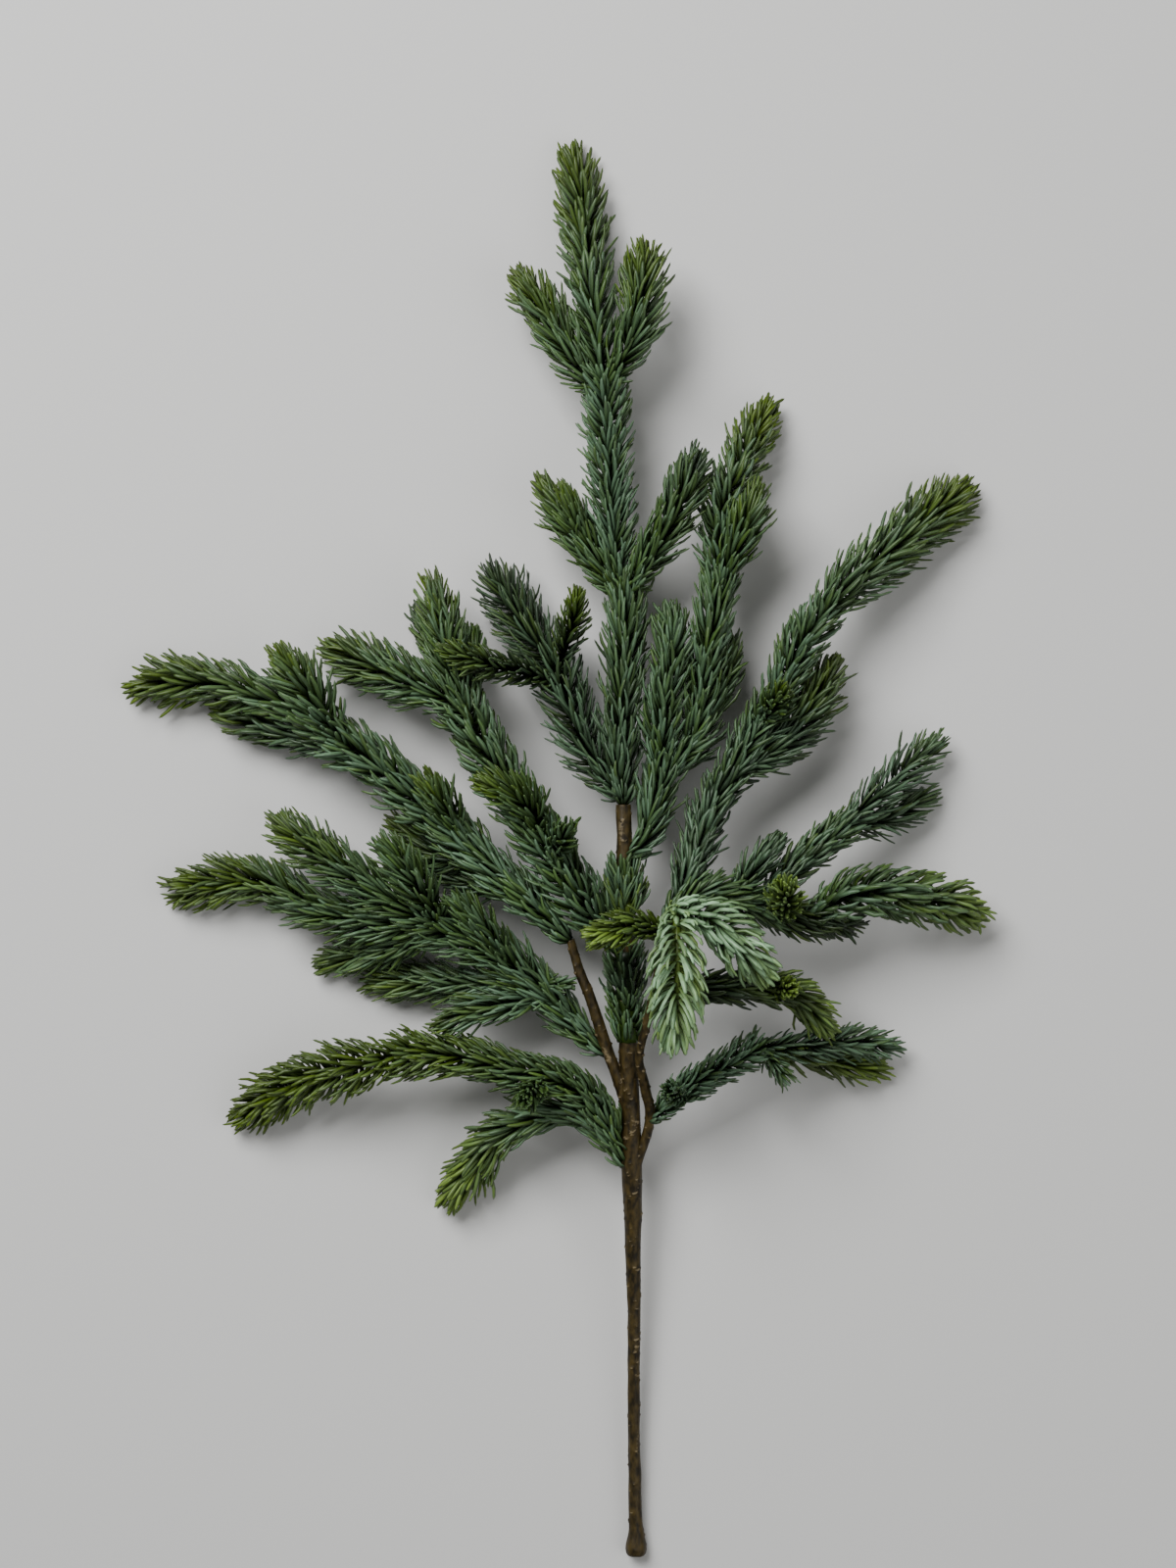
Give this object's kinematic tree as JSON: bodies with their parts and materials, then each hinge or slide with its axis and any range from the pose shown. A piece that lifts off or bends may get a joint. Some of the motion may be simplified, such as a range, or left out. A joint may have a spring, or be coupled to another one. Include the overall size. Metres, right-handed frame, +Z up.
{
  "type": "blue spruce branch",
  "caption": "Artificial blue spruce spray: moulded needle sprigs on brown stems, lying on its back; for wreaths, vases and garlands.",
  "frame": {"origin": "middle of the footprint, on the surface that the spray lies on", "axes": "+X to the right as seen from above with the crown up, +Y from the foot of the stem towards the crown, +Z up, away from the surface"},
  "size_m": [0.4425, 0.7185, 0.115],
  "materials": {
    "needles_blue_green": "satin moulded plastic, blue green with a pale bloom",
    "needles_olive": "satin moulded plastic, yellow green to olive",
    "needles_dark": "satin moulded plastic, dark green",
    "needles_pale": "satin moulded plastic, pale frosted green",
    "bark_brown": "matte moulded bark with pale worn flecks"
  },
  "bodies": {
    "root": {"crown": "needles_blue_green", "front_hanging": "needles_pale", "front_left": "needles_olive", "front_right": "needles_dark", "leader_lower": "needles_dark", "leader_upper": "needles_blue_green", "left_long": "needles_blue_green", "left_long_tip": "needles_blue_green", "left_middle": "needles_blue_green", "left_middle_tip": "needles_blue_green", "left_stem": "bark_brown", "lower_left": "needles_blue_green", "lower_left_side": "needles_olive", "lower_left_tip": "needles_olive", "lower_right": "needles_blue_green", "lower_right_tip": "needles_blue_green", "main_stem": "bark_brown", "right_inner": "needles_blue_green", "right_inner_tip": "needles_blue_green", "right_long": "needles_blue_green", "right_long_tip": "needles_blue_green", "right_middle": "needles_blue_green", "right_middle_lower_tip": "needles_olive", "right_middle_upper_tip": "needles_blue_green", "right_stem": "bark_brown", "stem_needles_lower": "needles_blue_green", "stem_needles_upper": "needles_blue_green", "upper_left": "needles_blue_green", "upper_left_tip": "needles_blue_green"}
  },
  "joints": []
}
